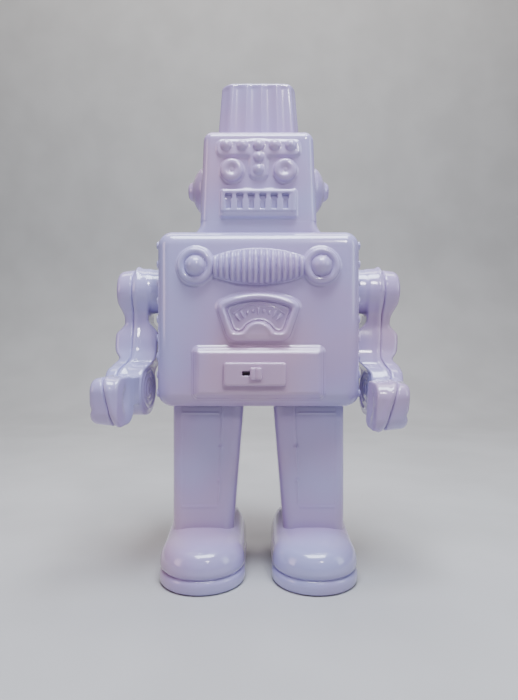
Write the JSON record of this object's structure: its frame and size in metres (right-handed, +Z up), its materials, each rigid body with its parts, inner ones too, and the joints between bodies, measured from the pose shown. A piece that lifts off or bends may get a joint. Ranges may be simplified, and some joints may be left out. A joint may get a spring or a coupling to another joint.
{
  "type": "walking toy robot",
  "caption": "Boxy walking toy robot with a fluted cap, ribbed chest grille, arched gauge, swinging legs and claw arms, on rollers in rounded shoes.",
  "frame": {"origin": "on the floor, under the middle of the whole object's bounding box", "axes": "+Z up; the robot faces -Y; +X is the robot's left"},
  "size_m": [0.1856, 0.1022, 0.3],
  "materials": {
    "pearl_shell": "high gloss, pearl white with a lilac cast",
    "zinc_steel": "zinc plated",
    "bright_steel": "bright",
    "plate_steel": "cold-rolled plate",
    "roller_rubber": "matte",
    "gear_plastic": "natural acetal",
    "black_plastic": "satin",
    "cell_jacket": "satin jacket",
    "brass": "satin",
    "bulb_glass": "clear"
  },
  "bodies": {
    "torso": {"torso_front_shell": "pearl_shell", "torso_back_shell": "pearl_shell", "shell_screws": "zinc_steel", "side_rivets": "pearl_shell", "neck_collar": "pearl_shell", "head_front_shell": "pearl_shell", "head_back_shell": "pearl_shell", "hat_cap": "pearl_shell", "ear_discs": "pearl_shell", "ear_knobs": "pearl_shell", "lamp_holder": "brass", "lamp_bulb": "bulb_glass", "brow_plate": "pearl_shell", "eye_rings": "pearl_shell", "eye_lenses": "pearl_shell", "mouth_grille": "pearl_shell", "chest_lamp_bezels": "pearl_shell", "chest_lamp_lenses": "pearl_shell", "chest_grille": "pearl_shell", "gauge_bezel": "pearl_shell", "gauge_dial": "pearl_shell", "control_panel": "pearl_shell", "switch_plate": "pearl_shell", "slide_switch_body": "black_plastic", "gear_frame": "plate_steel", "hip_axle": "bright_steel", "axle_clips": "zinc_steel", "motor": "bright_steel", "battery_box": "black_plastic", "battery_cells": "cell_jacket", "battery_contacts": "zinc_steel", "shoulder_bushings": "gear_plastic"},
    "crank": {"crank_shaft": "gear_plastic"},
    "second_stage": {"second_gear": "gear_plastic"},
    "first_stage": {"first_gear": "gear_plastic"},
    "motor_rotor": {"motor_pinion": "gear_plastic"},
    "switch": {"switch_lever": "pearl_shell"},
    "door": {"battery_door": "pearl_shell"},
    "left_leg": {"left_leg_front_shell": "pearl_shell", "left_leg_back_shell": "pearl_shell", "left_shoe": "pearl_shell", "left_sole": "pearl_shell", "left_leg_yoke": "plate_steel"},
    "left_front_roller": {"left_front_rollers": "roller_rubber"},
    "left_rear_roller": {"left_rear_rollers": "roller_rubber"},
    "left_arm": {"left_arm_outer_shell": "pearl_shell", "left_arm_inner_shell": "pearl_shell", "left_arm_lever": "plate_steel"},
    "right_leg": {"right_leg_front_shell": "pearl_shell", "right_leg_back_shell": "pearl_shell", "right_shoe": "pearl_shell", "right_sole": "pearl_shell", "right_leg_yoke": "plate_steel"},
    "right_front_roller": {"right_front_rollers": "roller_rubber"},
    "right_rear_roller": {"right_rear_rollers": "roller_rubber"},
    "right_arm": {"right_arm_outer_shell": "pearl_shell", "right_arm_inner_shell": "pearl_shell", "right_arm_lever": "plate_steel"}
  },
  "joints": [
    {"name": "crank_spin", "type": "hinge", "parent": "torso", "child": "crank", "pos_m": [0, 0.01388, 0.143], "axis": [1, 0, 0], "continuous": true},
    {"name": "second_gear_spin", "type": "hinge", "parent": "torso", "child": "second_stage", "pos_m": [0, 0.00419, 0.15269], "axis": [1, 0, 0], "continuous": true},
    {"name": "first_gear_spin", "type": "hinge", "parent": "torso", "child": "first_stage", "pos_m": [0, -0.00635, 0.14394], "axis": [1, 0, 0], "continuous": true},
    {"name": "motor_spin", "type": "hinge", "parent": "torso", "child": "motor_rotor", "pos_m": [0, -0.0092, 0.13054], "axis": [1, 0, 0], "continuous": true},
    {"name": "switch_slide", "type": "slide", "parent": "torso", "child": "switch", "axis": [-1, 0, 0], "range_m": [0, 0.006]},
    {"name": "door_hinge", "type": "hinge", "parent": "torso", "child": "door", "pos_m": [0, 0.04878, 0.1212], "axis": [-1, 0, 0], "range_deg": [0, 95]},
    {"name": "left_leg_swing", "type": "hinge", "parent": "torso", "child": "left_leg", "pos_m": [0.033, 0.01388, 0.113], "axis": [1, 0, 0], "range_deg": [-4.5, 4.5]},
    {"name": "left_arm_swing", "type": "hinge", "parent": "torso", "child": "left_arm", "pos_m": [0.0818, 0.01388, 0.1724], "axis": [1, 0, 0], "range_deg": [-13.1, 13.1]},
    {"name": "left_front_roller_spin", "type": "hinge", "parent": "left_leg", "child": "left_front_roller", "pos_m": [0.033, -0.01912, 0.006], "axis": [1, 0, 0], "continuous": true},
    {"name": "left_rear_roller_spin", "type": "hinge", "parent": "left_leg", "child": "left_rear_roller", "pos_m": [0.033, 0.02688, 0.006], "axis": [1, 0, 0], "continuous": true},
    {"name": "right_leg_swing", "type": "hinge", "parent": "torso", "child": "right_leg", "pos_m": [-0.033, 0.01388, 0.113], "axis": [1, 0, 0], "range_deg": [-4.5, 4.5]},
    {"name": "right_arm_swing", "type": "hinge", "parent": "torso", "child": "right_arm", "pos_m": [-0.0818, 0.01388, 0.1724], "axis": [1, 0, 0], "range_deg": [-13.1, 13.1]},
    {"name": "right_front_roller_spin", "type": "hinge", "parent": "right_leg", "child": "right_front_roller", "pos_m": [-0.033, -0.01912, 0.006], "axis": [1, 0, 0], "continuous": true},
    {"name": "right_rear_roller_spin", "type": "hinge", "parent": "right_leg", "child": "right_rear_roller", "pos_m": [-0.033, 0.02688, 0.006], "axis": [1, 0, 0], "continuous": true}
  ],
  "couplings": [
    {"joint": "second_gear_spin", "follows": "crank_spin", "ratio": -3.5},
    {"joint": "first_gear_spin", "follows": "crank_spin", "ratio": 12.25},
    {"joint": "motor_spin", "follows": "crank_spin", "ratio": -42.875},
    {"joint": "right_leg_swing", "follows": "left_leg_swing", "ratio": -1},
    {"joint": "left_arm_swing", "follows": "left_leg_swing", "ratio": -2.9},
    {"joint": "right_arm_swing", "follows": "left_leg_swing", "ratio": 2.9}
  ]
}
